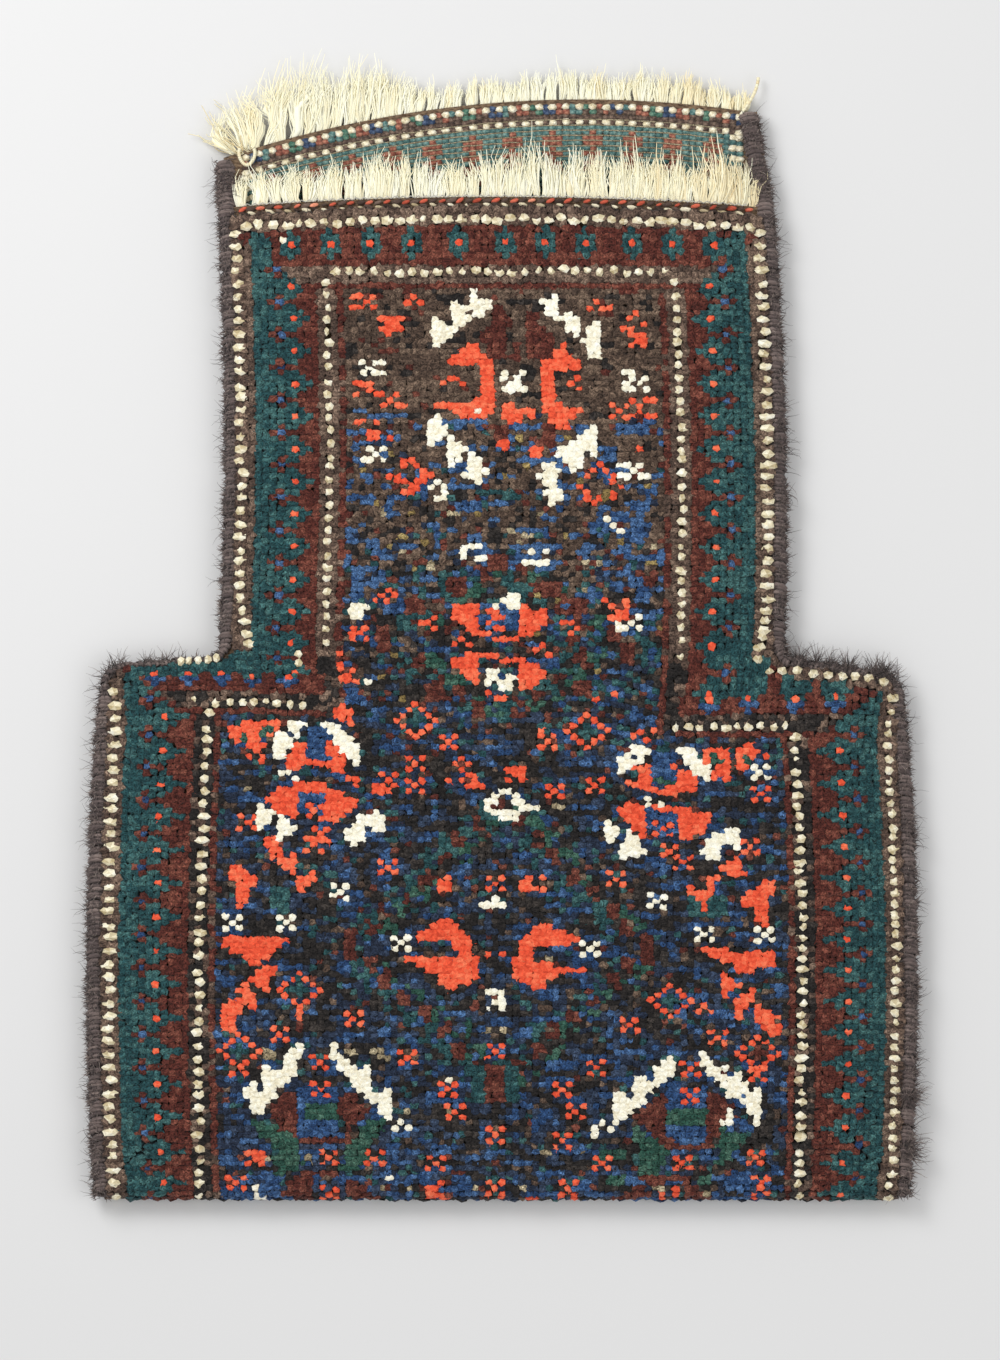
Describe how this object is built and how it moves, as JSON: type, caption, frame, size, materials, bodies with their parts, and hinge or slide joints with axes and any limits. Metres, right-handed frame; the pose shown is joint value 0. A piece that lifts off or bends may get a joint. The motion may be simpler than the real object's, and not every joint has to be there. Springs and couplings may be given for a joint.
{
  "type": "salt bag",
  "caption": "Flat T-shaped bag of folded knotted-pile cloth with overcast sides, an open mouth at the top of a narrow neck, and a fringed back flap, for storing salt.",
  "frame": {"origin": "middle of the bag's outline, on the surface that its back lies on", "axes": "+X to the right, +Y from the bottom fold to the mouth, +Z out of the front face"},
  "size_m": [0.3996, 0.5402, 0.0229],
  "materials": {
    "pile_wool": "dyed wool pile, soft sheen",
    "goat_hair": "dark brown goat hair, matte",
    "twined_wool": "red and cream twined wool, matte",
    "warp_wool": "undyed cream wool warp, matte"
  },
  "bodies": {
    "root": {"pile_cloth": "pile_wool", "left_overcasting": "goat_hair", "right_overcasting": "goat_hair", "front_twining": "twined_wool", "back_twining": "twined_wool", "front_fringe": "warp_wool", "back_fringe": "warp_wool"}
  },
  "joints": []
}
